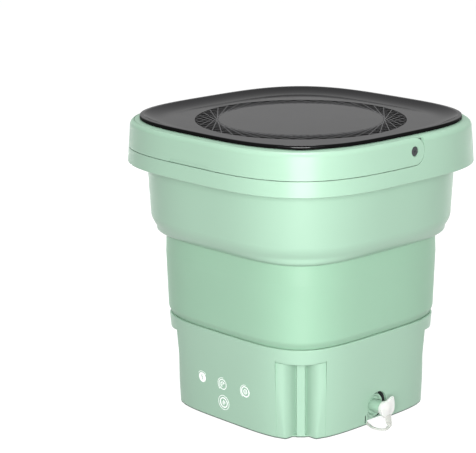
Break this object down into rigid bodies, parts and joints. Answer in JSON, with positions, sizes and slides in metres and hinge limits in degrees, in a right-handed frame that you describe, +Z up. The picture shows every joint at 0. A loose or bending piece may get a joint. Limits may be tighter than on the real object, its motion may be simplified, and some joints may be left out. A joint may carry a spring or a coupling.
{
  "type": "portable mini washer",
  "caption": "Folding wash tub with a rounded-square rim, swing-up carry handle, lift-off lid, pulsator drive in a fluted base and a plugged side drain.",
  "frame": {"origin": "on the ground under the middle of the tub", "axes": "+Z up, -Y the control side that the handle lies along, +X the drain side, +Y the power inlet side"},
  "size_m": [0.3026, 0.3026, 0.301],
  "materials": {
    "shell": "satin moulded mint green polypropylene",
    "floor_pan": "satin moulded mint green polypropylene",
    "fold_wall": "soft satin mint green thermoplastic elastomer",
    "lid": "gloss smoked dark grey",
    "silicone": "milky white silicone",
    "pulsator": "light grey moulded plastic",
    "inner_plastic": "dark moulded plastic",
    "rubber": "dark grey rubber",
    "steel": "plated steel",
    "board": "green circuit board",
    "lead_jacket": "soft red wire jacket",
    "copper": "wound motor armature",
    "nylon": "off-white nylon gear"
  },
  "bodies": {
    "base": {"base_housing": "shell", "tub_floor": "floor_pan", "bottom_cover": "shell", "foot_1": "rubber", "foot_2": "rubber", "foot_3": "rubber", "foot_4": "rubber", "cover_screw_1": "steel", "cover_screw_2": "steel", "cover_screw_3": "steel", "cover_screw_4": "steel", "gearbox_screw_1": "steel", "gearbox_screw_2": "steel", "gearbox_screw_3": "steel", "gearbox_screw_4": "steel", "gearbox_tray": "inner_plastic", "gearbox_cover": "inner_plastic", "lower_bearing": "steel", "upper_bearing": "steel", "shaft_seal": "rubber", "motor_can": "steel", "motor_end_cap": "inner_plastic", "control_board": "board", "touch_board": "board", "power_inlet": "inner_plastic", "motor_lead": "lead_jacket", "touch_lead": "lead_jacket", "inlet_lead": "lead_jacket", "drain_spout": "shell", "drain_hose": "silicone", "hose_clip_upper": "steel", "drain_strainer": "silicone", "wall_foot_ring": "shell", "fold_wall": "fold_wall"},
    "drive": {"output_shaft": "steel", "drive_wheel": "nylon", "pulsator": "pulsator", "pulsator_screw": "steel"},
    "rotor": {"motor_rotor": "copper", "pinion": "nylon"},
    "upper_tub": {"upper_wall": "shell", "rim_frame": "shell", "pivot_pin_right": "inner_plastic", "pivot_pin_left": "inner_plastic"},
    "carry_handle": {"handle": "shell"},
    "lid": {"lid_panel": "lid", "lid_seal": "silicone"},
    "plug": {"drain_plug": "silicone", "plug_tether": "silicone"}
  },
  "joints": [
    {"name": "tub_fold", "type": "slide", "parent": "base", "child": "upper_tub", "axis": [0, 0, -1], "range_m": [0, 0.147], "deforming": ["fold_wall"]},
    {"name": "handle_swing", "type": "hinge", "parent": "upper_tub", "child": "carry_handle", "pos_m": [0, 0.004, 0.2832], "axis": [-1, 0, 0], "range_deg": [0, 90]},
    {"name": "lid_lift", "type": "slide", "parent": "upper_tub", "child": "lid", "axis": [0, 0, 1], "range_m": [0, 0.05]},
    {"name": "plug_pull", "type": "slide", "parent": "base", "child": "plug", "axis": [1, 0, 0], "range_m": [0, 0.016]},
    {"name": "pulsator_spin", "type": "hinge", "parent": "base", "child": "drive", "pos_m": [0, 0, 0.09], "axis": [0, 0, 1], "continuous": true},
    {"name": "rotor_spin", "type": "hinge", "parent": "base", "child": "rotor", "pos_m": [-0.036, 0, 0.03], "axis": [0, 0, 1], "continuous": true}
  ],
  "couplings": [
    {"joint": "rotor_spin", "follows": "pulsator_spin", "ratio": -5}
  ]
}
